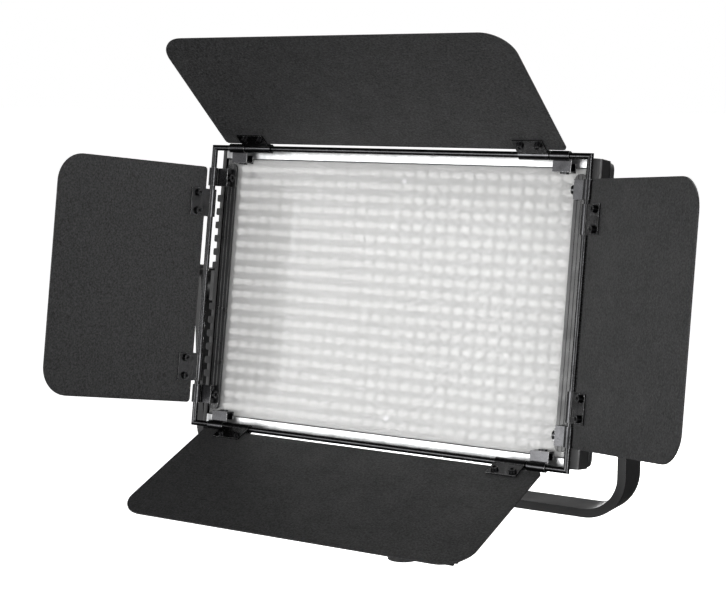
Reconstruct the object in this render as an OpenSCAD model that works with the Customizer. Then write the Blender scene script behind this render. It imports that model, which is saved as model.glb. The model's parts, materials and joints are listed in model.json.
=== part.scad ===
// LED panel light on a U-shaped yoke, with a four-leaf barn door kit on a wire frame.
// Frame: origin at the mouth of the stand socket, +Z up the socket, the light faces -Y, X to its right.
// The head's own pieces are drawn square to the panel: x across, y back from the wire, z up the panel,
// with zero at the centre of the wire frame. at_head() then tilts them back on the yoke's pivots.

/* [Lamps] */
// Lamps in a row
lamp_cols = 30; // [20:1:30]
// Rows of lamps
lamp_rows = 20; // [14:1:20]
// Distance between lamps, both ways
lamp_pitch = 10; // [9:0.5:10]
// Diameter of one lamp
lamp_d = 5; // [3:0.5:5]

/* [Barn doors] */
// Width of the wire frame, between the wire's centres
wire_w = 320.6; // [320:0.1:324]
// Height of the wire frame, between the wire's centres
wire_h = 218; // [218:1:220]
// Diameter of the wire
wire_d = 4.5; // [4:0.1:4.6]
// Forward fold of the top door
fold_top = 58; // [20:1:90]
// Forward fold of the bottom door
fold_bottom = 62; // [20:1:90]
// Forward fold of the left door
fold_left = 76; // [20:1:90]
// Forward fold of the right door
fold_right = 39; // [20:1:90]
// Depth of the top and bottom doors, from the wire's centre to the outer edge
long_door_reach = 126.4; // [100:0.1:130]
// Depth of the side doors, from the wire's centre to the outer edge
side_door_reach = 145.6; // [120:0.1:146]
// Thickness of a door leaf
leaf_t = 1.2; // [0.8:0.1:1.2]

/* [Housing] */
// Width of the housing over the ribs of its end caps
case_w = 331.6; // [331:0.1:332]
// Height of the housing
case_h = 218; // [217:1:219]
// Depth of the housing's rear edge behind the wire's centre
case_back = 43; // [42:0.5:46]
// Depth of the raised back behind the wire's centre
hump_back = 57; // [54:0.5:60]
// Tilt of the head, back from upright
tilt_back = 8.6; // [0:0.1:20]

/* [Yoke] */
// Width across the yoke's arms, outside
yoke_w = 376; // [374:1:380]
// Width of the yoke's flat bar
bar_w = 28; // [24:1:30]
// Thickness of the yoke's flat bar
bar_t = 6.5; // [5:0.5:6.5]
// Outer radius of the yoke's bends
bend_r = 32; // [20:1:40]
// Height of the tilt pivots above the socket's mouth
pivot_z = 202; // [197:1:215]
// Height of the bar's underside above the socket's mouth
bar_z = 57; // [54:1:60]
// Radius of the stand socket, for a 16 mm spigot
socket_r = 8.1; // [8.05:0.05:8.2]
// Depth of the stand socket
socket_depth = 38; // [30:1:40]

/* [Hidden] */
$fn = 48;
cut = 1;             // how far a cutting shape runs past the face it cuts
hull_fn = 32;        // facets of a circle inside a hull

// depths behind the wire's centre plane
rail_front = 9.8;
profile_front = 11.7;
sheet_front = 12.6;
sheet_t = 2;
box_front = sheet_front + sheet_t;
board_front = 26.5;
board_t = 1.6;
cap_back = 30;
rim_back = 36.5;
wall = 2;

// places across and up the panel
window_x = 145.6;
rail_x = 154.4;
sheet_x = 155.6;
profile_x = 157;
sheet_z = 101.4;
profile_z = 102;
top_z = case_h / 2 - 0.2;
cap_x = case_w / 2;
rib_depth = 2.8;
cap_face = cap_x - rib_depth;
case_r = 7;
rear_x = 158.5;
rear_z = 104.5;
rail_half = 97.6;

// boards inside
board_screw_x = 140;
board_screw_z = 90;
driver_y = 46;
driver_t = 1.6;
driver_post_x = 58;
driver_post_z = 36;

// pivots
pivot_y = 38;
boss_r = 12;
boss_neck_r = 8;
boss_start = 150;
boss_block_x = 166;
boss_end = 178.2;
yoke_in = yoke_w / 2 - bar_t;
tilt_screw_r = 4;
bush_r = 6;

// side ribs
rib_h = 5.6;
rib_round = 2.5;
rib_pitch = 10.7;
rib_first = 16.5;
ribs = 6;

// wire frame
wire_r = wire_d / 2;
sleeve_in = wire_r + 0.06;
strap_t = 1.2;
sleeve_out = sleeve_in + strap_t;

// corner clips
clip_w = 14.2;
clip_x = 138;
clip_z = 85.9;
clip_screw_r = 3.2;
clip_screw_h = 2.4;
long_reach = 11.2;
side_reach = 12;
long_seat = profile_front;
side_seat = rail_front;

// doors
long_door_half = 145;
side_door_half = 93;
long_door_taper = 2.4;
side_door_taper = 3.2;
leaf_start = 6.8;
leaf_corner = 22;
long_hinge_w = 23.4;
side_hinge_w = 21.6;
hinge_x = 118;
hinge_z = 65;
long_hinge_reach = 17.5;
side_hinge_reach = 21.5;
long_hinge_screw = 12;
side_hinge_screw = 14.5;
hinge_screw_gap = 14;
hinge_screw_r = 1.5;
hinge_head_r = 2.8;

// raised back and what it carries
hump_x = 118;
hump_z = 72;
hump_r = 8;
panel_x = 48;
panel_z = 62;
panel_t = 1.2;
panel_back = hump_back + panel_t;
window_z = 34;
dial_x = 24;
dial_z = -8;
rocker_x = -22;
rocker_z = -8;
rocker_pivot = -1.8;
rocker_rest = 8;
rocker_half = 8.9;
rocker_pin_r = 1;
rocker_pin_x = 10;
inlet_z = -44;
plate_x = 83;
plate_w = 42;
plate_h = 80;
plate_t = 4;
plate_z = -4;
latch_z = 32;
latch_w = 14;
latch_h = 7;
screw_x = 151;
screw_z = 97;

// stand adapter
adapter_r = 12.3;
lock_z = 15.2;
lock_knob_x = 36.5;

COL_BLACK = [0.09, 0.09, 0.1];
COL_LEAF = [0.17, 0.17, 0.18];
COL_STEEL = [0.32, 0.32, 0.34];
COL_SILVER = [0.82, 0.83, 0.84];
COL_WHITE = [0.92, 0.93, 0.94];
COL_BRASS = [0.75, 0.6, 0.3];
COL_BOARD = [0.1, 0.35, 0.2];
COL_WINDOW = [0.05, 0.08, 0.1];

// ---- helpers ----

// Puts panel-square pieces on the tilted head
module at_head() {
  translate([0, 0, pivot_z]) rotate([-tilt_back, 0, 0]) translate([0, -pivot_y, 0]) children();
}

// Turns a shape drawn along +Z to run back along +Y from depth y
module back_from(x, y, z) {
  translate([x, y, z]) rotate([-90, 0, 0]) children();
}

// A block given by its two ends on each axis
module block(x0, x1, y0, y1, z0, z1) {
  translate([x0, y0, z0]) cube([x1 - x0, y1 - y0, z1 - z0]);
}

// A plate square to Y with round corners, from depth y0 to y1
module round_plate(half_x, half_z, r, y0, y1) {
  translate([0, y1, 0]) rotate([90, 0, 0]) linear_extrude(y1 - y0) rounded(half_x, half_z, r);
}

// A rectangle with round corners
module rounded(half_x, half_y, r) {
  square([2 * half_x, 2 * (half_y - r)], center = true);
  square([2 * (half_x - r), 2 * half_y], center = true);
  for (sx = [-1, 1])
    for (sy = [-1, 1])
      translate([sx * (half_x - r), sy * (half_y - r)]) circle(r);
}

// Puts children at both ends of an axis, mirrored
module both_x() {
  children();
  mirror([1, 0, 0]) children();
}

module both_z() {
  children();
  mirror([0, 0, 1]) children();
}

// The four edges of the wire frame share one layout, drawn on the top edge:
// x along the wire, z outward from it
module on_edge(side) {
  if (side == "top") translate([0, 0, wire_h / 2]) children();
  if (side == "bottom") mirror([0, 0, 1]) translate([0, 0, wire_h / 2]) children();
  if (side == "right") rotate([0, 90, 0]) translate([0, 0, wire_w / 2]) children();
  if (side == "left") mirror([1, 0, 0]) rotate([0, 90, 0]) translate([0, 0, wire_w / 2]) children();
}

// A door's own frame: x along the hinge, y out from the wire, z out of the leaf's inner face
module on_door(side, fold) {
  at_head() on_edge(side) rotate([fold, 0, 0]) rotate([90, 0, 0]) children();
}

// ---- yoke ----

module yoke_outline() {
  arm_top = pivot_z + bar_w / 2;
  difference() {
    translate([-yoke_w / 2, bar_z]) yoke_loop(yoke_w, arm_top - bar_z, bend_r);
    translate([-yoke_in, bar_z + bar_t]) yoke_loop(2 * yoke_in, arm_top - bar_z, bend_r - bar_t);
  }
}

// A rectangle whose two lower corners are round
module yoke_loop(w, h, r) {
  translate([0, r]) square([w, h - r]);
  translate([r, 0]) square([w - 2 * r, h]);
  for (x = [r, w - r]) translate([x, r]) circle(r, $fn = 96);
}

module yoke_bracket() {
  arm_end_r = 7;
  color(COL_BLACK) difference() {
    translate([0, bar_w / 2, 0]) rotate([90, 0, 0]) linear_extrude(bar_w) yoke_outline();
    for (s = [-1, 1])
      translate([0, s * bar_w / 2, pivot_z + bar_w / 2]) arm_corner_cut(s, arm_end_r);
    translate([-yoke_w / 2 - cut, 0, pivot_z]) rotate([0, 90, 0])
      cylinder(r = tilt_screw_r + 0.4, h = yoke_w + 2 * cut);
    translate([0, 0, bar_z - cut]) cylinder(r = 4.1, h = bar_t + 2 * cut);
  }
}

// Takes one top corner off both arms
module arm_corner_cut(s, r) {
  translate([-yoke_w / 2 - cut, 0, 0]) rotate([0, 90, 0]) linear_extrude(yoke_w + 2 * cut)
    difference() {
      translate([-cut, s > 0 ? -r : -cut]) square([r + cut, r + cut]);
      translate([r, -s * r]) circle(r);
    }
}

module stand_adapter() {
  color(COL_BLACK) difference() {
    union() {
      cylinder(r = adapter_r, h = bar_z);
      translate([0, 0, lock_z]) rotate([0, 90, 0]) cylinder(r = 7.5, h = 24);
    }
    translate([0, 0, -cut]) cylinder(r = socket_r, h = socket_depth + cut);
    translate([0, 0, socket_depth + 2]) cylinder(r = 4, h = bar_z);
    translate([0, 0, lock_z]) rotate([0, 90, 0]) cylinder(r = 4.07, h = 30);
  }
}

module adapter_bolt() {
  color(COL_STEEL) {
    translate([0, 0, socket_depth + 3]) cylinder(r = 4, h = bar_z + bar_t + 1.6 - socket_depth - 3);
    translate([0, 0, bar_z + bar_t + 1.6]) difference() {
      cylinder(r = 6.5, h = 6);
      translate([0, 0, 2.5]) cylinder(r = 3.5, h = 6, $fn = 6);
    }
  }
}

module adapter_washer() {
  color(COL_STEEL) translate([0, 0, bar_z + bar_t]) difference() {
    cylinder(r = 9, h = 1.6);
    translate([0, 0, -cut]) cylinder(r = 4.1, h = 4);
  }
}

module pivot_washers() {
  washer_t = yoke_in - boss_end - 0.2;
  color(COL_BLACK) both_x() translate([yoke_in - washer_t, 0, pivot_z]) rotate([0, 90, 0]) difference() {
    cylinder(r = 11, h = washer_t);
    translate([0, 0, -cut]) cylinder(r = 4.4, h = washer_t + 2 * cut);
  }
}

// A round grip with finger hollows, from 0 up to h
module grip(r, h, hollows, hollow_r) {
  difference() {
    cylinder(r = r, h = h);
    for (i = [0:hollows - 1])
      rotate([0, 0, i * 360 / hollows]) translate([r + hollow_r * 0.62, 0, -cut])
        cylinder(r = hollow_r, h = h + 2 * cut);
  }
}

module stand_lock_knob() {
  color(COL_BLACK) translate([lock_knob_x, 0, lock_z]) rotate([0, 90, 0]) difference() {
    union() {
      translate([0, 0, -5]) cylinder(r = 7, h = 5);
      grip(14.2, 9.5, 8, 4.2);
    }
    translate([0, 0, -5 - cut]) cylinder(r = 4, h = 11 + cut);
  }
}

module stand_lock_screw() {
  color(COL_STEEL) translate([socket_r + 0.7, 0, lock_z]) rotate([0, 90, 0])
    cylinder(r = 4, h = lock_knob_x + 6 - socket_r - 0.7);
}

module tilt_knob() {
  hub = 9.5;
  grip_h = 17;
  translate([yoke_w / 2 + 0.4, 0, pivot_z]) rotate([0, 90, 0]) difference() {
    union() {
      cylinder(r = 9.5, h = hub);
      translate([0, 0, hub]) grip(20, grip_h, 7, 7);
    }
    translate([0, 0, -cut]) cylinder(r = tilt_screw_r, h = 20 + cut);
  }
}

module tilt_screw() {
  screw_in = boss_start + 2;
  translate([screw_in, 0, pivot_z]) rotate([0, 90, 0])
    cylinder(r = tilt_screw_r, h = yoke_w / 2 + 20.4 - screw_in);
}

module right_tilt_knob() { color(COL_BLACK) tilt_knob(); }
module left_tilt_knob() { color(COL_BLACK) mirror([1, 0, 0]) tilt_knob(); }
module right_tilt_screw() { color(COL_STEEL) tilt_screw(); }
module left_tilt_screw() { color(COL_STEEL) mirror([1, 0, 0]) tilt_screw(); }

// ---- housing ----

// The shell's solid block: a straight rim, then bevels to a smaller back
module shell_block(half_x, half_z, r, y0, rim, y1, back_x, back_z) {
  intersection() {
    round_plate(half_x, half_z, r, y0, y1);
    translate([0, 0, -half_z - cut]) linear_extrude(2 * (half_z + cut))
      bevel_section(half_x, y0, rim, y1, back_x);
    translate([-half_x - cut, 0, 0]) rotate([90, 0, 90]) linear_extrude(2 * (half_x + cut))
      rotate(-90) mirror([1, 0]) bevel_section(half_z, y0, rim, y1, back_z);
  }
}

module bevel_section(half, y0, rim, y1, back) {
  polygon([[-half, y0], [half, y0], [half, rim], [back, y1], [-back, y1], [-half, rim]]);
}

module rear_shell() {
  rim_x = cap_face + 0.5;
  rim_z = case_h / 2 + 0.5;
  color(COL_BLACK) at_head() difference() {
    union() {
      difference() {
        shell_block(rim_x, rim_z, case_r, cap_back, rim_back, case_back, rear_x, rear_z);
        shell_block(
          rim_x - wall, rim_z - wall, case_r - wall, cap_back - cut, rim_back - 0.8, case_back - wall,
          rear_x - wall, rear_z - wall
        );
      }
      round_plate(hump_x, hump_z, hump_r, case_back - wall, hump_back);
      both_x() both_z() back_from(screw_x, cap_back, screw_z)
        cylinder(r = 4.5, h = case_back - cap_back);
    }
    round_plate(hump_x - 2.5, hump_z - 2.5, hump_r - 2.5, case_back - wall - cut, hump_back - 2.5);
    both_x() block(boss_start - 0.5, cap_x + 2, cap_back - cut, case_back + cut, -boss_r - 0.3, boss_r + 0.3);
    both_x() both_z() back_from(screw_x, cap_back - cut, screw_z) cylinder(r = 1.6, h = 20);
    panel_holes(hump_back - 2.5 - cut, hump_back + cut);
    for (i = [-3:3])
      both_x() block(128, 140, case_back - wall - cut, case_back + cut, i * 16 - 1.5, i * 16 + 1.5);
  }
}

// Openings for the switch, the dial's shaft and the inlet, through the raised back and its panel
module panel_holes(y0, y1) {
  block(rocker_x - 11, rocker_x + 11, y0, y1, rocker_z - 8, rocker_z + 8);
  back_from(dial_x, y0, dial_z) cylinder(r = 3.5, h = y1 - y0);
  back_from(0, y0, inlet_z) cylinder(r = 5.6, h = y1 - y0);
}

module end_cap() {
  inner = profile_x + 0.2;
  difference() {
    union() {
      translate([0, 0, -case_h / 2]) linear_extrude(case_h) cap_section(cap_face);
      for (s = [-1, 1])
        for (i = [0:ribs - 1])
          translate([0, 0, s * (rib_first + i * rib_pitch)]) rib();
      block(inner, boss_block_x, profile_front + 3.2, pivot_y, -boss_r, boss_r);
      block(boss_start, inner + 1, pivot_y - boss_neck_r, pivot_y, -boss_r, boss_r);
      translate([boss_start, pivot_y, 0]) rotate([0, 90, 0])
        cylinder(r = boss_neck_r, h = inner + 1 - boss_start);
      translate([inner, pivot_y, 0]) rotate([0, 90, 0]) cylinder(r = boss_r, h = boss_end - inner);
      both_z() block(145, inner + 1, board_front + board_t + 0.1, cap_back, 91, 103);
    }
    for (s = [-1, 1])
      for (i = [0:ribs - 2])
        translate([0, 0, s * (rib_first + (i + 0.5) * rib_pitch)])
          block(inner - cut, cap_x + cut, 19, 27, -1.1, 1.1);
    translate([boss_start - cut, pivot_y, 0]) rotate([0, 90, 0])
      cylinder(r = bush_r, h = boss_end - boss_start + 2 * cut);
    both_z() back_from(screw_x, board_front, screw_z) cylinder(r = 1.4, h = 20);
  }
}

// One side rib, round along its outer edge
module rib() {
  base = profile_x + 2;
  intersection() {
    translate([0, 0, -rib_h / 2]) linear_extrude(rib_h) cap_section(cap_x);
    translate([base, cap_back + cut, 0]) rotate([90, 0, 0]) linear_extrude(cap_back) union() {
      translate([0, -rib_h / 2]) square([cap_x - base - rib_round, rib_h]);
      translate([cap_x - base - rib_round, 0]) intersection() {
        circle(rib_h / 2);
        translate([-rib_h, -rib_h]) square([rib_h + rib_round, 2 * rib_h]);
      }
    }
  }
}

// The cap's section seen from above, with its sloped front corner
module cap_section(face) {
  inner = profile_x + 0.2;
  front = profile_front + 0.2;
  polygon([
    [inner, front], [inner + 0.8, front], [face - 1.2, front + 2.1], [face, front + 3.4],
    [face, cap_back], [inner, cap_back]
  ]);
}

module right_end_cap() { color(COL_BLACK) at_head() end_cap(); }
module left_end_cap() { color(COL_BLACK) at_head() mirror([1, 0, 0]) end_cap(); }

// Silver extrusion: the lip beside the diffuser and the housing's long wall
module long_profile() {
  block(-profile_x, profile_x, profile_front, profile_front + 1.5, profile_z, top_z);
  block(-profile_x, profile_x, profile_front + 1.5, cap_back, top_z - 1.5, top_z);
}

module top_profile() { color(COL_SILVER) at_head() long_profile(); }
module bottom_profile() { color(COL_SILVER) at_head() mirror([0, 0, 1]) long_profile(); }

module rail() {
  back = sheet_front - 0.05;
  color(COL_BLACK) difference() {
    translate([(window_x + rail_x) / 2, 0, 0])
      round_plate((rail_x - window_x) / 2, rail_half, 4, rail_front, back);
    for (x = [window_x + 3, window_x + 6])
      block(x - 0.4, x + 0.4, rail_front - cut, rail_front + 0.5, -rail_half, rail_half);
  }
}

module right_rail() { at_head() rail(); }
module left_rail() { at_head() mirror([1, 0, 0]) rail(); }

module light_box() {
  color(COL_BLACK) at_head() difference() {
    block(-155, 155, box_front, board_front, -104, 104);
    block(-151, 151, box_front - cut, board_front + cut, -101.6, 101.6);
  }
}

module diffuser_sheet() {
  color([0.93, 0.94, 0.95, 0.7]) at_head()
    block(-sheet_x, sheet_x, sheet_front, box_front, -sheet_z, sheet_z);
}

// Calls its children at each lamp
module each_lamp() {
  for (i = [0:lamp_cols - 1])
    for (j = [0:lamp_rows - 1])
      translate([(i - (lamp_cols - 1) / 2) * lamp_pitch, 0, (j - (lamp_rows - 1) / 2) * lamp_pitch])
        children();
}

module led_lamps() {
  lamp_r = lamp_d / 2;
  body_h = 5.5;
  color(COL_WHITE) at_head() each_lamp() translate([0, board_front, 0]) rotate([90, 0, 0])
    rotate_extrude($fn = 24)
    union() {
      square([lamp_r, body_h]);
      intersection() {
        translate([0, body_h]) circle(lamp_r, $fn = 24);
        translate([0, body_h - 1]) square([lamp_r, lamp_r + 1]);
      }
    }
}

module led_board() {
  color(COL_WHITE) at_head() difference() {
    block(-155, 155, board_front, board_front + board_t, -104, 104);
    board_screw_places() back_from(0, board_front - cut, 0) cylinder(r = 1.6, h = board_t + 2 * cut);
  }
}

module board_screw_places() {
  for (x = [-board_screw_x, 0, board_screw_x])
    for (z = [-board_screw_z, board_screw_z])
      translate([x, 0, z]) children();
}

// Screws that hold the lamp board, and the four at the back corners
module housing_screws() {
  color(COL_STEEL) at_head() {
    board_screw_places() {
      back_from(0, board_front, 0) cylinder(r = 1.5, h = 8);
      back_from(0, board_front - 1.5, 0) cylinder(r = 2.3, h = 1.5);
    }
    both_x() both_z() {
      back_from(screw_x, cap_back - 1.2, screw_z) cylinder(r = 1.4, h = case_back - cap_back + 1.2);
      back_from(screw_x, case_back, screw_z) difference() {
        cylinder(r = 3, h = 1.8);
        translate([0, 0, 0.8]) cylinder(r = 1.5, h = 2, $fn = 6);
      }
    }
  }
}

module standoffs() {
  color(COL_BRASS) at_head() {
    board_screw_places() difference() {
      back_from(0, board_front + board_t, 0) cylinder(r = 3, h = case_back - wall - board_front - board_t);
      back_from(0, board_front, 0) cylinder(r = 1.5, h = 9);
    }
    for (x = [-driver_post_x, driver_post_x])
      for (z = [-driver_post_z, driver_post_z])
        back_from(x, driver_y + driver_t, z) cylinder(r = 2.5, h = hump_back - 2.5 - driver_y - driver_t);
  }
}

module driver_board() {
  color(COL_BOARD) at_head() block(-66, 66, driver_y, driver_y + driver_t, -44, 44);
}

module driver_parts() {
  color(COL_STEEL) at_head() {
    for (i = [0:3]) back_from(-48 + i * 13, driver_y - 13, 30) cylinder(r = 5, h = 13);
    back_from(38, driver_y - 11, 26) difference() {
      cylinder(r = 11, h = 11);
      translate([0, 0, -cut]) cylinder(r = 5, h = 11 + 2 * cut);
    }
    for (i = [0:4]) block(-58 + i * 9, -52 + i * 9, driver_y - 10, driver_y, -36, -20);
    block(8, 30, driver_y - 3, driver_y, -16, 2);
    block(-10, 10, board_front + board_t, driver_y, -41.5, -40);
  }
}

module pivot_bushes() {
  color(COL_BRASS) at_head() both_x() translate([boss_start, pivot_y, 0]) rotate([0, 90, 0]) difference() {
    cylinder(r = bush_r, h = boss_end - boss_start);
    translate([0, 0, -cut]) cylinder(r = tilt_screw_r + 0.07, h = boss_end - boss_start + 2 * cut);
  }
}

// ---- back of the housing ----

module control_panel() {
  color(COL_STEEL) at_head() difference() {
    round_plate(panel_x, panel_z, 5, hump_back, panel_back);
    panel_holes(hump_back - cut, panel_back + cut);
  }
}

module display_window() {
  color(COL_WINDOW) at_head() translate([0, 0, window_z]) round_plate(30, 14, 2, panel_back, panel_back + 1);
}

module dc_inlet() {
  color(COL_BLACK) at_head() difference() {
    union() {
      back_from(0, hump_back - 8, inlet_z) cylinder(r = 5.5, h = 8 + panel_t);
      back_from(0, panel_back, inlet_z) cylinder(r = 7, h = 1.4);
    }
    back_from(0, hump_back - 6, inlet_z) difference() {
      cylinder(r = 2.8, h = 20);
      cylinder(r = 1, h = 7);
    }
  }
}

module switch_bezel() {
  color(COL_BLACK) at_head() translate([rocker_x, 0, rocker_z]) difference() {
    union() {
      block(-10.8, 10.8, hump_back - 8, panel_back, -7.8, 7.8);
      block(-12, 12, panel_back, panel_back + 1.2, -9, 9);
    }
    block(-9.3, 9.3, hump_back - 6.5, panel_back + 3, -6.3, 6.3);
    translate([-rocker_pin_x - 0.2, panel_back + rocker_pivot, 0]) rotate([0, 90, 0])
      cylinder(r = rocker_pin_r + 0.06, h = 2 * rocker_pin_x + 0.4);
  }
}

// Rocker on its pivot pin: two faces that meet in a shallow valley, at rest with its lower half pressed in
module power_rocker() {
  color(COL_BLACK) at_head()
    translate([rocker_x, panel_back + rocker_pivot, rocker_z]) rotate([rocker_rest, 0, 0]) {
      translate([-rocker_half, 0, 0]) rotate([90, 0, 90]) linear_extrude(2 * rocker_half)
        polygon([[-1.7, -3], [-1.7, 3], [1, 5.2], [3.7, 5.2], [2.7, 0], [3.7, -5.2], [1, -5.2]]);
      translate([-rocker_pin_x, 0, 0]) rotate([0, 90, 0]) cylinder(r = rocker_pin_r, h = 2 * rocker_pin_x);
    }
}

module brightness_knob() {
  color(COL_BLACK) at_head() {
    back_from(dial_x, hump_back - 2, dial_z) cylinder(r = 3, h = 4);
    back_from(dial_x, panel_back + 0.5, dial_z) difference() {
      union() {
        cylinder(r = 10, h = 13);
        cylinder(r = 11.5, h = 3);
      }
      for (i = [0:17]) rotate([0, 0, i * 20]) translate([10.3, 0, 4]) cylinder(r = 0.8, h = 12);
      rotate([0, 0, -30]) translate([-0.5, 3, 12.4]) cube([1, 9, 2]);
    }
  }
}

module battery_plate() {
  lip_t = 3;
  lip_y = hump_back + plate_t;
  translate([plate_x, 0, plate_z]) difference() {
    union() {
      round_plate(plate_w / 2, plate_h / 2, 3, hump_back, hump_back + plate_t);
      both_x() {
        block(plate_w / 2 - lip_t, plate_w / 2, lip_y, lip_y + 5, 6 - plate_h / 2, 28);
        block(plate_w / 2 - lip_t - 2, plate_w / 2 - lip_t, lip_y + 3, lip_y + 5, 6 - plate_h / 2, 28);
      }
    }
    for (x = [-8, 0, 8]) block(x - 1.5, x + 1.5, hump_back + 2, hump_back + plate_t + cut, -30, -22);
    both_x() both_z() back_from(14, hump_back + 1.5, 34) cylinder(r = 2.6, h = 10);
    block(
      -latch_w / 2 - 0.4, latch_w / 2 + 0.4, hump_back + 0.8, hump_back + plate_t + cut,
      latch_z - latch_h / 2 - 0.4, latch_z + latch_h / 2 + 0.4
    );
  }
}

module battery_plate_right() { color(COL_BLACK) at_head() battery_plate(); }
module battery_plate_left() { color(COL_BLACK) at_head() mirror([1, 0, 0]) battery_plate(); }

// Push button that lets the battery go, in its pocket at the top of the plate
module battery_latch() {
  translate([plate_x, 0, plate_z + latch_z]) difference() {
    round_plate(latch_w / 2, latch_h / 2, 1.5, hump_back + 3.2, hump_back + plate_t + 2.6);
    for (x = [-4, -2, 0, 2, 4])
      block(x - 0.4, x + 0.4, hump_back + plate_t + 2.1, hump_back + plate_t + 2.6 + cut, -2.2, 2.2);
  }
}

module battery_latch_right() { color(COL_STEEL) at_head() battery_latch(); }
module battery_latch_left() { color(COL_STEEL) at_head() mirror([1, 0, 0]) battery_latch(); }

module battery_contacts() {
  color(COL_BRASS) at_head() both_x() translate([plate_x, 0, plate_z])
    for (x = [-8, 0, 8]) block(x - 0.6, x + 0.6, hump_back + 2, hump_back + plate_t + 2.5, -29, -23);
}

// ---- wire frame and clips ----

// One bar of the wire frame along X, its two ends cut to a 45 degree mitre
module mitred_bar(w, h) {
  intersection() {
    translate([-w / 2 - wire_d, 0, h / 2]) rotate([0, 90, 0])
      cylinder(r = wire_r, h = w + 2 * wire_d, $fn = 32);
    translate([0, wire_d, 0]) rotate([90, 0, 0]) linear_extrude(2 * wire_d) polygon([
      [-w / 2 - wire_d, h / 2 + wire_d], [w / 2 + wire_d, h / 2 + wire_d],
      [w / 2 - wire_d, h / 2 - wire_d], [-w / 2 + wire_d, h / 2 - wire_d]
    ]);
  }
}

module rod_frame() {
  color(COL_STEEL) at_head() {
    both_z() mitred_bar(wire_w, wire_h);
    both_x() rotate([0, 90, 0]) mitred_bar(wire_h, wire_w);
  }
}

// Strap clip on the top edge: a sleeve round the wire, a front plate, a leg and a foot.
// reach is how far it comes in from the wire, seat the depth of the face its foot rests on
module clip(side, along, reach, seat) {
  color(COL_STEEL) at_head() on_edge(side) translate([along - clip_w / 2, 0, 0]) difference() {
    union() {
      rotate([0, 90, 0]) cylinder(r = sleeve_out, h = clip_w, $fn = 32);
      block(0, clip_w, sleeve_in, sleeve_out, -reach, 0);
      block(0, clip_w, sleeve_out - 0.01, seat, -reach, strap_t - reach);
      block(0, clip_w, seat - strap_t, seat, -reach, 2.2 - reach + 4.5);
    }
    translate([-cut, 0, 0]) rotate([0, 90, 0]) cylinder(r = sleeve_in, h = clip_w + 2 * cut, $fn = 32);
    translate([clip_w / 2, clip_screw_y(seat), strap_t - reach + cut]) rotate([180, 0, 0])
      cylinder(r = 1.5, h = strap_t + 2 * cut);
  }
}

function clip_screw_y(seat) = seat - clip_screw_r - 0.4;

module clip_screw(side, along, reach, seat, head_h) {
  on_edge(side) translate([along, clip_screw_y(seat), -reach]) rotate([180, 0, 0]) {
    difference() {
      cylinder(r = clip_screw_r, h = head_h);
      translate([0, 0, head_h * 0.4]) cylinder(r = 1.6, h = 3, $fn = 6);
    }
    translate([0, 0, -strap_t - 2.5]) cylinder(r = 1.5, h = strap_t + 2.5);
  }
}

module clip_top_left() { clip("top", -clip_x, long_reach, long_seat); }
module clip_top_right() { clip("top", clip_x, long_reach, long_seat); }
module clip_bottom_left() { clip("bottom", -clip_x, long_reach, long_seat); }
module clip_bottom_right() { clip("bottom", clip_x, long_reach, long_seat); }
module clip_left_top() { clip("left", -clip_z, side_reach, side_seat); }
module clip_left_bottom() { clip("left", clip_z, side_reach, side_seat); }
module clip_right_top() { clip("right", -clip_z, side_reach, side_seat); }
module clip_right_bottom() { clip("right", clip_z, side_reach, side_seat); }

module clip_screws() {
  color(COL_BLACK) at_head()
    for (s = [-1, 1]) {
      for (edge = ["top", "bottom"]) clip_screw(edge, s * clip_x, long_reach, long_seat, 0.9);
      for (edge = ["left", "right"]) clip_screw(edge, s * clip_z, side_reach, side_seat, clip_screw_h);
    }
}

// ---- doors ----

// Leaf outline: half is half its hinge edge, taper what it loses at each end by the outer edge
module leaf_outline(half, reach, taper) {
  hull() {
    for (s = [-1, 1]) {
      translate([s * (half - 3), leaf_start + 3]) circle(3, $fn = hull_fn);
      translate([s * (half - taper - leaf_corner), reach - leaf_corner]) circle(leaf_corner, $fn = 64);
    }
  }
}

module leaf(half, reach, taper, screw_at, hinge_at) {
  difference() {
    translate([0, 0, -leaf_t / 2]) linear_extrude(leaf_t) leaf_outline(half, reach, taper);
    hinge_screw_places(hinge_at, screw_at) translate([0, 0, -cut]) cylinder(r = hinge_screw_r, h = 2 * cut);
  }
}

// Where the hinge screws go, in a door's frame
module hinge_screw_places(hinge_at, screw_at) {
  for (s = [-1, 1])
    for (g = [-0.5, 0.5])
      translate([s * hinge_at + g * hinge_screw_gap, screw_at, 0]) children();
}

// Strap hinge: a barrel on the wire and a flange on each face of the leaf
module hinge_pair(hinge_at, hinge_w, reach, screw_at) {
  for (s = [-1, 1])
    translate([s * hinge_at - hinge_w / 2, 0, 0]) difference() {
      union() {
        rotate([0, 90, 0]) cylinder(r = sleeve_out, h = hinge_w, $fn = 32);
        translate([0, 0, leaf_t / 2]) cube([hinge_w, reach, strap_t]);
        translate([0, 0, -leaf_t / 2 - strap_t]) cube([hinge_w, reach - 3, strap_t]);
      }
      translate([-cut, 0, 0]) rotate([0, 90, 0]) cylinder(r = sleeve_in, h = hinge_w + 2 * cut, $fn = 32);
      for (g = [-0.5, 0.5])
        translate([hinge_w / 2 + g * hinge_screw_gap, screw_at, -5]) cylinder(r = hinge_screw_r, h = 10);
    }
}

module hinge_screws(hinge_at, screw_at) {
  face = leaf_t / 2 + strap_t;
  hinge_screw_places(hinge_at, screw_at) {
    translate([0, 0, -face]) cylinder(r = hinge_screw_r, h = 2 * face);
    translate([0, 0, face]) difference() {
      cylinder(r = hinge_head_r, h = 2);
      translate([0, 0, 0.8]) cylinder(r = 1.4, h = 2, $fn = 6);
    }
    translate([0, 0, -face - 1.6]) cylinder(r = 2.7, h = 1.6, $fn = 6);
  }
}

module long_leaf() {
  color(COL_LEAF) leaf(long_door_half, long_door_reach, long_door_taper, long_hinge_screw, hinge_x);
}

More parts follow.
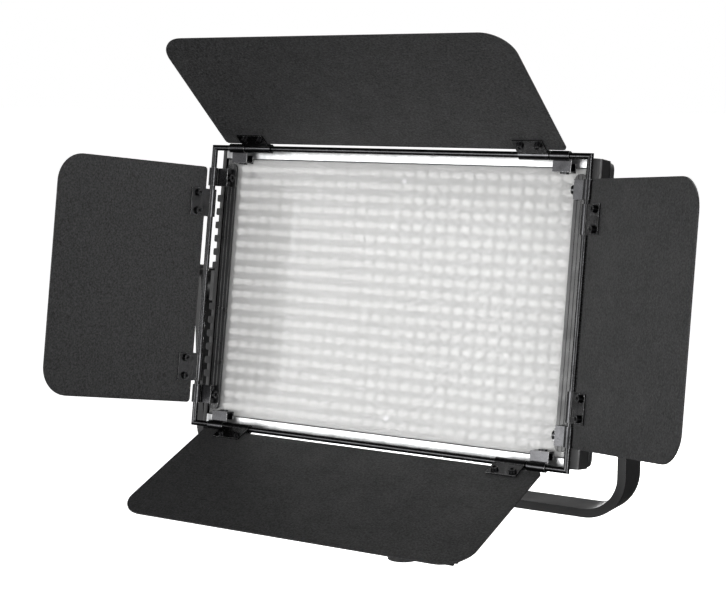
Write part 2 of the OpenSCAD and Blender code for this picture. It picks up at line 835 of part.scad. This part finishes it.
module side_leaf() {
  color(COL_LEAF) leaf(side_door_half, side_door_reach, side_door_taper, side_hinge_screw, hinge_z);
}

module long_hinges() {
  color(COL_BLACK) hinge_pair(hinge_x, long_hinge_w, long_hinge_reach, long_hinge_screw);
}

module side_hinges() {
  color(COL_BLACK) hinge_pair(hinge_z, side_hinge_w, side_hinge_reach, side_hinge_screw);
}

module long_hinge_screws() {
  color(COL_STEEL) hinge_screws(hinge_x, long_hinge_screw);
}

module side_hinge_screws() {
  color(COL_STEEL) hinge_screws(hinge_z, side_hinge_screw);
}

module door_top() { on_door("top", fold_top) long_leaf(); }
module door_bottom() { on_door("bottom", fold_bottom) long_leaf(); }
module door_left() { on_door("left", fold_left) side_leaf(); }
module door_right() { on_door("right", fold_right) side_leaf(); }
module hinges_top() { on_door("top", fold_top) long_hinges(); }
module hinges_bottom() { on_door("bottom", fold_bottom) long_hinges(); }
module hinges_left() { on_door("left", fold_left) side_hinges(); }
module hinges_right() { on_door("right", fold_right) side_hinges(); }
module hinge_screws_top() { on_door("top", fold_top) long_hinge_screws(); }
module hinge_screws_bottom() { on_door("bottom", fold_bottom) long_hinge_screws(); }
module hinge_screws_left() { on_door("left", fold_left) side_hinge_screws(); }
module hinge_screws_right() { on_door("right", fold_right) side_hinge_screws(); }

yoke_bracket();
stand_adapter();
adapter_bolt();
adapter_washer();
pivot_washers();
stand_lock_knob();
stand_lock_screw();
left_tilt_knob();
left_tilt_screw();
right_tilt_knob();
right_tilt_screw();
rear_shell();
left_end_cap();
right_end_cap();
top_profile();
bottom_profile();
left_rail();
right_rail();
light_box();
led_board();
led_lamps();
diffuser_sheet();
driver_board();
driver_parts();
standoffs();
housing_screws();
pivot_bushes();
control_panel();
display_window();
dc_inlet();
switch_bezel();
power_rocker();
brightness_knob();
battery_plate_left();
battery_plate_right();
battery_latch_left();
battery_latch_right();
battery_contacts();
rod_frame();
clip_top_left();
clip_top_right();
clip_bottom_left();
clip_bottom_right();
clip_left_top();
clip_left_bottom();
clip_right_top();
clip_right_bottom();
clip_screws();
door_top();
door_bottom();
door_left();
door_right();
hinges_top();
hinges_bottom();
hinges_left();
hinges_right();
hinge_screws_top();
hinge_screws_bottom();
hinge_screws_left();
hinge_screws_right();
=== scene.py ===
import json
import math

import bmesh
import bpy
from mathutils import Matrix, Vector


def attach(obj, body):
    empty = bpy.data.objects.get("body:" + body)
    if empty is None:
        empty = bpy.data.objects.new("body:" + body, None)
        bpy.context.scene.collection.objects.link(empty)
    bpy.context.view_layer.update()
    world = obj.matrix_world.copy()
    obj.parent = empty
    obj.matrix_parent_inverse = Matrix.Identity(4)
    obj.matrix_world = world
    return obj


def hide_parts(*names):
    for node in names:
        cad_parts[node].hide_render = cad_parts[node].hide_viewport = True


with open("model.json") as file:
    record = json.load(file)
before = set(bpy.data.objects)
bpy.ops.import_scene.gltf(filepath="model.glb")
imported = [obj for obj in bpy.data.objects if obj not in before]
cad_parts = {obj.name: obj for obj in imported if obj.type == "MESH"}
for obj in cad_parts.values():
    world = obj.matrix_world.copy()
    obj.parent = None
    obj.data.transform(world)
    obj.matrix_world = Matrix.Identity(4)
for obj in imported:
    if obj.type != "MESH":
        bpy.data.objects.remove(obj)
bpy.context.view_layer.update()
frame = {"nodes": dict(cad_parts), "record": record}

MM = 0.001

JOINTS = {joint["name"]: joint for joint in frame["record"]["behaviour"]["joints"]}


def joint_at(name):
    return Vector(JOINTS[name]["pos_m"])


# The head's own square frame: origin at the centre of the wire frame, x across, y back, z up the panel.
# The side doors turn on the upright wires, so their axis gives the lean and the wires' plane.
HEAD_UP = Vector(JOINTS["door_right_fold"]["axis"])
HEAD_BACK = Vector((0, HEAD_UP.z, -HEAD_UP.y))
TILT = math.atan2(HEAD_UP.y, HEAD_UP.z)
PIVOT = joint_at("head_tilt")
PIVOT_BACK = (PIVOT - joint_at("door_left_fold")).dot(HEAD_BACK)
HEAD = Matrix.Translation(PIVOT) @ Matrix.Rotation(-TILT, 4, "X") @ Matrix.Translation((0, -PIVOT_BACK, 0))


# ---- materials ----

class Mat:
    """A Principled material and short ways to wire its nodes."""

    def __init__(self, name, base, rough, metal=0.0, **sockets):
        self.m = bpy.data.materials.new(name)
        self.m.use_nodes = True
        self.t = self.m.node_tree
        self.bsdf = self.t.nodes["Principled BSDF"]
        self.bsdf.inputs["Base Color"].default_value = (*base, 1)
        self.bsdf.inputs["Roughness"].default_value = rough
        self.bsdf.inputs["Metallic"].default_value = metal
        for key, value in sockets.items():
            self.bsdf.inputs[key.replace("_", " ")].default_value = value
        self.base = base
        self.coord = None
        self.normal = None

    def node(self, kind, **props):
        n = self.t.nodes.new(kind)
        for key, value in props.items():
            setattr(n, key, value)
        return n

    def link(self, a, b):
        self.t.links.new(a, b)

    def noise(self, scale, detail=3.0, rough=0.6, stretch=(1, 1, 1)):
        if self.coord is None:
            self.coord = self.node("ShaderNodeTexCoord")
        place = self.node("ShaderNodeMapping")
        place.inputs["Scale"].default_value = stretch
        self.link(self.coord.outputs["Object"], place.inputs["Vector"])
        n = self.node("ShaderNodeTexNoise")
        n.inputs["Scale"].default_value = scale
        n.inputs["Detail"].default_value = detail
        n.inputs["Roughness"].default_value = rough
        self.link(place.outputs["Vector"], n.inputs["Vector"])
        return n.outputs["Fac"]

    def spread(self, fac, low, high, start=0.3, end=0.7):
        r = self.node("ShaderNodeMapRange")
        for key, value in (("From Min", start), ("From Max", end), ("To Min", low), ("To Max", high)):
            r.inputs[key].default_value = value
        self.link(fac, r.inputs["Value"])
        return r.outputs["Result"]

    def tint(self, fac, dark, light, start=0.3, end=0.7):
        ramp = self.node("ShaderNodeValToRGB")
        ramp.color_ramp.elements[0].position = start
        ramp.color_ramp.elements[1].position = end
        ramp.color_ramp.elements[0].color = (*[c * dark for c in self.base], 1)
        ramp.color_ramp.elements[1].color = (*[min(1, c * light) for c in self.base], 1)
        self.link(fac, ramp.inputs["Fac"])
        self.link(ramp.outputs["Color"], self.bsdf.inputs["Base Color"])

    def rub(self, fac, low, high, start=0.3, end=0.7):
        self.link(self.spread(fac, low, high, start, end), self.bsdf.inputs["Roughness"])

    def bump(self, fac, depth, strength=1.0):
        b = self.node("ShaderNodeBump")
        b.inputs["Distance"].default_value = depth
        b.inputs["Strength"].default_value = strength
        self.link(fac, b.inputs["Height"])
        if self.normal is not None:
            self.link(self.normal, b.inputs["Normal"])
        self.normal = b.outputs["Normal"]
        self.link(self.normal, self.bsdf.inputs["Normal"])


def powder(name, base, rough, grain=900, depth=0.00012, low=0.55, high=2.1):
    """Powder coat: orange-peel grain, fine light specks, patches of slightly different gloss."""
    k = Mat(name, base, rough)
    fine = k.noise(grain, 4, 0.75)
    k.tint(fine, low, high, 0.36, 0.68)
    k.bump(fine, depth, 0.9)
    k.rub(k.noise(45, 3), rough - 0.06, rough + 0.08)
    return k


def plastic(name, base, rough, grain=2600, depth=0.00003):
    """Moulded plastic: very fine spark-eroded grain and soft handling marks."""
    k = Mat(name, base, rough)
    k.bump(k.noise(grain, 2), depth, 0.6)
    worn = k.noise(60, 4)
    k.tint(worn, 0.85, 1.25)
    k.rub(worn, rough - 0.08, rough + 0.1)
    return k


def plated(name, base, rough, stretch=(1, 1, 1), scale=900, depth=0.000012):
    """Plated steel: faint draw lines and cloudy gloss."""
    k = Mat(name, base, rough, 1.0)
    lines = k.noise(scale, 3, 0.6, stretch)
    k.bump(lines, depth, 0.5)
    cloud = k.noise(90, 4)
    k.tint(cloud, 0.75, 1.3)
    k.rub(lines, rough - 0.07, rough + 0.1)
    return k


def frosted(rough=0.12, clear=0.72):
    """Frosted acrylic: rough transmission with a fine haze and little gloss of its own."""
    k = Mat("Diffuser", (0.9, 0.9, 0.895), rough, 0.0, IOR=1.3, Transmission_Weight=clear,
            Specular_IOR_Level=0.15)
    k.tint(k.noise(300, 3), 0.985, 1.015)
    k.rub(k.noise(60, 3), rough - 0.005, rough + 0.005)
    return k


def glowing_or_painted_light(name, base, glow, scale):
    """A matt part of the lamp field with a faint, slightly uneven glow: a real lamp's light on the lenses,
    painted light on the board, standing for light that reaches it through the sheet.
    """
    k = Mat(name, base, 0.9, 0.0, Specular_IOR_Level=0.1)
    uneven = k.noise(scale, 2)
    k.tint(uneven, 0.92, 1.06)
    k.bsdf.inputs["Emission Color"].default_value = (1, 0.995, 0.98, 1)
    k.bsdf.inputs["Emission Strength"].default_value = glow
    return k


LOOKS = {
    "leaf": powder("Leaf powder coat", (0.018, 0.018, 0.0184), 0.52, 700, 0.0003, 0.25, 4.0),
    "bracket": powder("Bracket powder coat", (0.006, 0.006, 0.0064), 0.4, 1500, 0.00006),
    "housing": powder("Housing coat", (0.02, 0.02, 0.021), 0.45, 1600, 0.00006, 0.6, 1.8),
    "cap": plastic("Cap plastic", (0.007, 0.007, 0.0074), 0.38),
    "rail": plastic("Rail plastic", (0.008, 0.008, 0.0084), 0.3),
    "knob": plastic("Knob nylon", (0.016, 0.016, 0.017), 0.5, 1900, 0.00005),
    "fitting": plastic("Fitting plastic", (0.012, 0.012, 0.0125), 0.46),
    "rubber": plastic("Washer rubber", (0.012, 0.012, 0.012), 0.7),
    "box": plastic("Light box black", (0.006, 0.006, 0.006), 0.6),
    "hinge": plated("Hinge plating", (0.05, 0.05, 0.052), 0.2),
    "wire": plated("Wire plating", (0.04, 0.04, 0.0412), 0.24),
    "clip": plated("Clip plating", (0.045, 0.045, 0.047), 0.26, (6, 6, 0.3)),
    "oxide": plated("Black oxide", (0.05, 0.05, 0.052), 0.24),
    "steel": plated("Turned steel", (0.5, 0.5, 0.52), 0.28),
    "silver": plated("Bright extrusion", (0.66, 0.665, 0.67), 0.38, (0.15, 8, 8), 700),
    "brass": plated("Brass", (0.72, 0.52, 0.24), 0.32),
    # painted light: the white board glows, standing for light that reaches the cavity through the sheet
    "board": glowing_or_painted_light("White solder mask", (0.28, 0.28, 0.28), 0.22, 40),
    "circuit": plastic("Green solder mask", (0.02, 0.16, 0.06), 0.35, 900, 0.00002),
    "parts": plated("Component cans", (0.45, 0.45, 0.47), 0.4),
    "panel": powder("Panel satin", (0.03, 0.03, 0.032), 0.4, 2600, 0.00003, 0.8, 1.3),
    "window": plastic("Smoked window", (0.006, 0.007, 0.009), 0.14, 300, 0.000004),
    "print": plastic("White print", (0.75, 0.76, 0.77), 0.55),
    "lamp": glowing_or_painted_light("Lamp lens", (0.5, 0.5, 0.5), 0.49, 60),
    "sheet": frosted(),
}
# painted highlight: how light each look's broken edges are painted, standing for the highlights that catch
# along them
PAINTED_EDGE_HIGHLIGHT = {
    "leaf": 0.05, "bracket": 0.13, "housing": 0.2, "cap": 0.12, "clip": 0.35,
    "hinge": 0.28, "knob": 0.05, "rail": 0.1,
}
for name, base in PAINTED_EDGE_HIGHLIGHT.items():
    LOOKS[name + " edge"] = plated(name.capitalize() + " painted edge highlight", (base, base, base), 0.3)


# ---- pieces ----

BODY_OF = {n: b for b, nodes in frame["record"]["behaviour"]["bodies"].items() for n in nodes}


def add_object(name, data):
    obj = bpy.data.objects.new(name, data)
    bpy.context.scene.collection.objects.link(obj)
    return obj


def finish_mesh(obj, angle=35):
    """Smooth shading, sharp where faces meet at more than angle degrees."""
    for p in obj.data.polygons:
        p.use_smooth = True
    bpy.context.view_layer.objects.active = obj
    bpy.ops.object.select_all(action="DESELECT")
    obj.select_set(True)
    bpy.ops.object.shade_smooth_by_angle(angle=math.radians(angle))


def apply_modifiers(obj):
    graph = bpy.context.evaluated_depsgraph_get()
    done = bpy.data.meshes.new_from_object(obj.evaluated_get(graph))
    old = obj.data
    obj.modifiers.clear()
    obj.data = done
    bpy.data.meshes.remove(old)


WELD = 0.000002  # metres: vertices nearer than this are one
FLAT = math.radians(0.6)  # neighbouring faces within this are one flat face


def softened(node, look, width, segments=2, angle=32):
    """Stands for a CAD node with the same solid, its sharp edges broken as the real part's are.

    The broken edges take the look's lighter edge colour, a painted highlight, where it has one.
    """
    source = frame["nodes"][node]
    bm = bmesh.new()
    bm.from_mesh(source.data)
    bm.transform(source.matrix_world)
    bmesh.ops.remove_doubles(bm, verts=bm.verts, dist=WELD)
    bmesh.ops.dissolve_limit(bm, angle_limit=FLAT, verts=bm.verts, edges=bm.edges)
    bmesh.ops.recalc_face_normals(bm, faces=bm.faces)
    mesh = bpy.data.meshes.new(node + "_soft")
    bm.to_mesh(mesh)
    bm.free()
    mesh.materials.clear()
    mesh.materials.append(LOOKS[look].m)
    if look + " edge" in LOOKS:
        mesh.materials.append(LOOKS[look + " edge"].m)
    piece = add_object(node + "_soft", mesh)
    bevel = piece.modifiers.new("edges", "BEVEL")
    bevel.width = width
    bevel.segments = segments
    bevel.limit_method = "ANGLE"
    bevel.angle_limit = math.radians(angle)
    bevel.use_clamp_overlap = True
    bevel.miter_outer = "MITER_SHARP"
    # painted highlight: the bevel's faces take the lighter edge look
    bevel.material = len(mesh.materials) - 1
    apply_modifiers(piece)
    finish_mesh(piece)
    flat = piece.modifiers.new("flat faces", "WEIGHTED_NORMAL")
    flat.mode = "FACE_AREA"
    flat.weight = 80
    flat.keep_sharp = True
    apply_modifiers(piece)
    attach(piece, BODY_OF[node])
    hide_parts(node)
    return piece


def kept(node, look):
    """Leaves a CAD node as it is, in a better material."""
    for s in frame["nodes"][node].material_slots:
        s.material = LOOKS[look].m


# node: (look, width of the broken edge in mm)
SOFT = {
    "yoke_bracket": ("bracket", 0.6), "stand_adapter": ("bracket", 0.5),
    "stand_lock_knob": ("knob", 0.5), "left_tilt_knob": ("knob", 0.8), "right_tilt_knob": ("knob", 0.8),
    "rear_shell": ("housing", 0.5), "left_end_cap": ("cap", 0.8), "right_end_cap": ("cap", 0.8),
    "top_profile": ("silver", 0.2), "bottom_profile": ("silver", 0.2),
    "left_rail": ("rail", 0.25), "right_rail": ("rail", 0.25),
    "diffuser_sheet": ("sheet", 0.3),
    "control_panel": ("panel", 0.25), "display_window": ("window", 0.2),
    "switch_bezel": ("fitting", 0.3), "power_rocker": ("fitting", 0.35), "brightness_knob": ("knob", 0.25),
    "battery_plate_left": ("fitting", 0.3), "battery_plate_right": ("fitting", 0.3),
    "battery_latch_left": ("fitting", 0.25), "battery_latch_right": ("fitting", 0.25),
    "door_top": ("leaf", 0.35), "door_bottom": ("leaf", 0.35),
    "door_left": ("leaf", 0.35), "door_right": ("leaf", 0.35),
    "hinges_top": ("hinge", 0.3), "hinges_bottom": ("hinge", 0.3),
    "hinges_left": ("hinge", 0.3), "hinges_right": ("hinge", 0.3),
    "hinge_screws_top": ("oxide", 0.2), "hinge_screws_bottom": ("oxide", 0.2),
    "hinge_screws_left": ("oxide", 0.2), "hinge_screws_right": ("oxide", 0.2),
    "clip_screws": ("oxide", 0.2), "adapter_bolt": ("steel", 0.4), "housing_screws": ("steel", 0.2),
}
for side in ("top", "bottom"):
    for end in ("left", "right"):
        SOFT[f"clip_{side}_{end}"] = ("clip", 0.3)
        SOFT[f"clip_{end}_{side}"] = ("clip", 0.3)

KEPT = {
    "adapter_washer": "steel", "pivot_washers": "rubber", "stand_lock_screw": "steel",
    "left_tilt_screw": "steel", "right_tilt_screw": "steel", "light_box": "box",
    "led_lamps": "lamp", "driver_board": "circuit", "driver_parts": "parts",
    "standoffs": "brass", "pivot_bushes": "brass", "battery_contacts": "brass",
    "dc_inlet": "fitting", "rod_frame": "wire",
}

for name, (look, width) in SOFT.items():
    softened(name, look, width * MM)

# The lamp board is white only on the side that faces the sheet.
board = softened("led_board", "circuit", 0.15 * MM)
board.data.materials.append(LOOKS["board"].m)
for face in board.data.polygons:
    face.material_index = int(face.normal.dot(-HEAD_BACK) > 0.9)

for name, look in KEPT.items():
    kept(name, look)


# ---- printed marks on the back: dial scale, dial pointer, switch marks ----

DIAL = HEAD.inverted() @ joint_at("brightness_turn") / MM  # on the panel's back face
ROCKER = HEAD.inverted() @ joint_at("power_rocker_rock") / MM
DIAL_TOP = 13.05  # the dial's face, with half of the print's thickness, above the panel
TICK_START = 13.2
TICKS = 11
DIAL_ZERO = -60  # degrees from +X to the first tick
TICK_STEP = 30
ROCKER_RUN = 5.2  # the rocker's faces fall 1 mm in this many
ROCKER_DEPTH = 2.7
ROCKER_LEAN = 8  # degrees at rest, half of its travel


def printed(name, body, place, add):
    """A thin raised print. add draws it in mm in bmesh; place is its frame, in metres."""
    bm = bmesh.new()
    add(bm)
    bm.transform(place @ Matrix.Scale(MM, 4))
    bmesh.ops.recalc_face_normals(bm, faces=bm.faces)
    mesh = bpy.data.meshes.new(name)
    bm.to_mesh(mesh)
    bm.free()
    mesh.materials.append(LOOKS["print"].m)
    piece = add_object(name, mesh)
    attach(piece, body)


def bar(bm, centre, size, turn=0.0):
    """A box, turned about Y."""
    at = Matrix.Translation(centre) @ Matrix.Rotation(turn, 4, "Y") @ Matrix.Diagonal((*size, 1))
    bmesh.ops.create_cube(bm, size=1, matrix=at)


def ring(bm, centre, inner, outer, thick, steps=28):
    """A flat ring square to Y."""
    rows = []
    for i in range(steps):
        a = 2 * math.pi * i / steps
        rows.append([
            bm.verts.new((centre[0] + r * math.cos(a), centre[1] + y, centre[2] + r * math.sin(a)))
            for r, y in ((inner, 0), (outer, 0), (outer, thick), (inner, thick))
        ])
    for i, row in enumerate(rows):
        after = rows[(i + 1) % steps]
        for k in range(4):
            n = (k + 1) % 4
            bm.faces.new((row[k], row[n], after[n], after[k]))


def around_dial(radius, degrees, above):
    a = math.radians(degrees)
    return DIAL + Vector((radius * math.cos(a), above, radius * math.sin(a)))


def dial_scale(bm):
    """Ticks over the dial's 300 degrees, the first, middle and last ones longer."""
    for i in range(TICKS):
        degrees = DIAL_ZERO + TICK_STEP * i
        length = 2.6 if i % 5 == 0 else 1.7
        at = around_dial(TICK_START + length / 2, degrees, 0.06)
        bar(bm, at, (length, 0.12, 0.45), -math.radians(degrees))


def dial_pointer(bm):
    bar(bm, around_dial(6.4, DIAL_ZERO, DIAL_TOP), (5.6, 0.3, 0.7), -math.radians(DIAL_ZERO))


def switch_on(bm):
    bar(bm, (0, 0.1, 0), (0.5, 0.2, 2.4))


def switch_off(bm):
    ring(bm, (0, 0, 0), 0.8, 1.25, 0.2)


def rocker_face(z):
    """Frame on one of the rocker's two sloping faces, z up from its pivot."""
    slope = math.atan2(1, ROCKER_RUN)
    depth = ROCKER_DEPTH + abs(z) / ROCKER_RUN
    pivot = Matrix.Translation(ROCKER * MM)
    rest = Matrix.Rotation(math.radians(ROCKER_LEAN), 4, "X")
    face = Matrix.Translation(Vector((0, depth, z)) * MM)
    return HEAD @ pivot @ rest @ face @ Matrix.Rotation(-slope if z > 0 else slope, 4, "X")


printed("dial_scale", "head", HEAD, dial_scale)
printed("dial_pointer", "dial", HEAD, dial_pointer)
printed("switch_mark_on", "rocker", rocker_face(2.7), switch_on)
printed("switch_mark_off", "rocker", rocker_face(-2.7), switch_off)


# ---- stage, light and camera ----

FLOOR_Z = -0.32
FLOOR_HALF = 40
FLOOR_GLOW = 0.97

floor_mat = Mat("Floor", (0.92, 0.92, 0.92), 0.9)
floor_mat.tint(floor_mat.noise(3, 2), 0.99, 1.0)
floor_mat.bsdf.inputs["Emission Color"].default_value = (1, 1, 1, 1)
floor_mat.bsdf.inputs["Emission Strength"].default_value = FLOOR_GLOW

corners = ((-1, -1), (1, -1), (1, 1), (-1, 1))
floor_mesh = bpy.data.meshes.new("floor")
floor_mesh.from_pydata([(x * FLOOR_HALF, y * FLOOR_HALF, FLOOR_Z) for x, y in corners], [], [(0, 1, 2, 3)])
floor_mesh.materials.append(floor_mat.m)
floor = add_object("floor", floor_mesh)
floor.visible_diffuse = False
floor.visible_glossy = False

# The studio: white behind the object, and a bright wall band with a dim ceiling and floor to light it.
ROOM_STRENGTH = 0.85
DIM = (0.04, 0.04, 0.04, 1)
BAND_EDGES = (0.25, 0.72)  # straight down is 0, level 0.5, straight up 1
BAND_BRIGHT = (0.42, 0.53)
DARK_SIDE = (0.86, 0.51, 0)  # the way to the wall that is kept dark

world = bpy.data.worlds.new("Studio")
bpy.context.scene.world = world
world.use_nodes = True
wt = world.node_tree
backdrop = wt.nodes["Background"]
backdrop.inputs["Color"].default_value = (1, 1, 1, 1)
room = wt.nodes.new("ShaderNodeBackground")
room.inputs["Strength"].default_value = ROOM_STRENGTH
where = wt.nodes.new("ShaderNodeTexCoord")
height = wt.nodes.new("ShaderNodeSeparateXYZ")
band = wt.nodes.new("ShaderNodeValToRGB")
stops = band.color_ramp.elements
for stop, at in zip(stops, BAND_EDGES):
    stop.position, stop.color = at, DIM
for at in BAND_BRIGHT:
    stops.new(at).color = (1, 1, 1, 1)
lift = wt.nodes.new("ShaderNodeMapRange")
lift.inputs["From Min"].default_value = -1
seen = wt.nodes.new("ShaderNodeLightPath")
mix = wt.nodes.new("ShaderNodeMixShader")
wt.links.new(where.outputs["Generated"], height.inputs["Vector"])
wt.links.new(height.outputs["Z"], lift.inputs["Value"])
wt.links.new(lift.outputs["Result"], band.inputs["Fac"])
# The wall behind the object on the right is dark, so polished parts that face it stay black.
across = wt.nodes.new("ShaderNodeVectorMath")
across.operation = "DOT_PRODUCT"
across.inputs[1].default_value = DARK_SIDE
shade = wt.nodes.new("ShaderNodeMapRange")
for key, value in (("From Min", 0.1), ("From Max", 0.75), ("To Min", 1.0), ("To Max", 0.08)):
    shade.inputs[key].default_value = value
dim = wt.nodes.new("ShaderNodeVectorMath")
dim.operation = "SCALE"
wt.links.new(where.outputs["Generated"], across.inputs[0])
wt.links.new(across.outputs["Value"], shade.inputs["Value"])
wt.links.new(band.outputs["Color"], dim.inputs[0])
wt.links.new(shade.outputs["Result"], dim.inputs["Scale"])
wt.links.new(dim.outputs["Vector"], room.inputs["Color"])
wt.links.new(seen.outputs["Is Camera Ray"], mix.inputs["Fac"])
wt.links.new(room.outputs["Background"], mix.inputs[1])
wt.links.new(backdrop.outputs["Background"], mix.inputs[2])
wt.links.new(mix.outputs["Shader"], wt.nodes["World Output"].inputs["Surface"])


LIT_POINT = Vector((0, 0, 0.2))  # the middle of the head

# name, place in metres, width and height, watts
LIGHTS = (
    ("key", (1.8, -1.3, 0.35), (0.6, 1.0), 23),
    ("fill", (-0.9, -2.2, 0.3), (1.2, 0.9), 25),
    ("back key", (0.7, 1.7, 2.0), (1.0, 1.0), 42),
    ("back fill", (-0.5, 1.9, -0.12), (1.2, 0.25), 9),
)
for name, at, size, watts in LIGHTS:
    light = bpy.data.lights.new(name, "AREA")
    light.shape = "RECTANGLE"
    light.size, light.size_y = size
    light.energy = watts
    lamp = add_object(name, light)
    lamp.location = at
    lamp.rotation_euler = (LIT_POINT - lamp.location).to_track_quat("-Z", "Y").to_euler()

CAMERA_AT = (0.6147, -1.0754, 0.3624)
CAMERA_FORWARD = Vector((-0.5139, 0.8485, -0.1262)).normalized()
CAMERA_LENS = 81.3

camera = bpy.data.cameras.new("Camera")
camera.sensor_fit = "HORIZONTAL"
camera.sensor_width = 36
camera.lens = CAMERA_LENS
camera.clip_end = 60
cam = add_object("Camera", camera)
right = CAMERA_FORWARD.cross(Vector((0, 0, 1))).normalized()
up = right.cross(CAMERA_FORWARD)
rot = Matrix((right, up, -CAMERA_FORWARD)).transposed()
cam.matrix_world = Matrix.Translation(CAMERA_AT) @ rot.to_4x4()
bpy.context.scene.camera = cam

bpy.context.scene.view_settings.view_transform = "Standard"
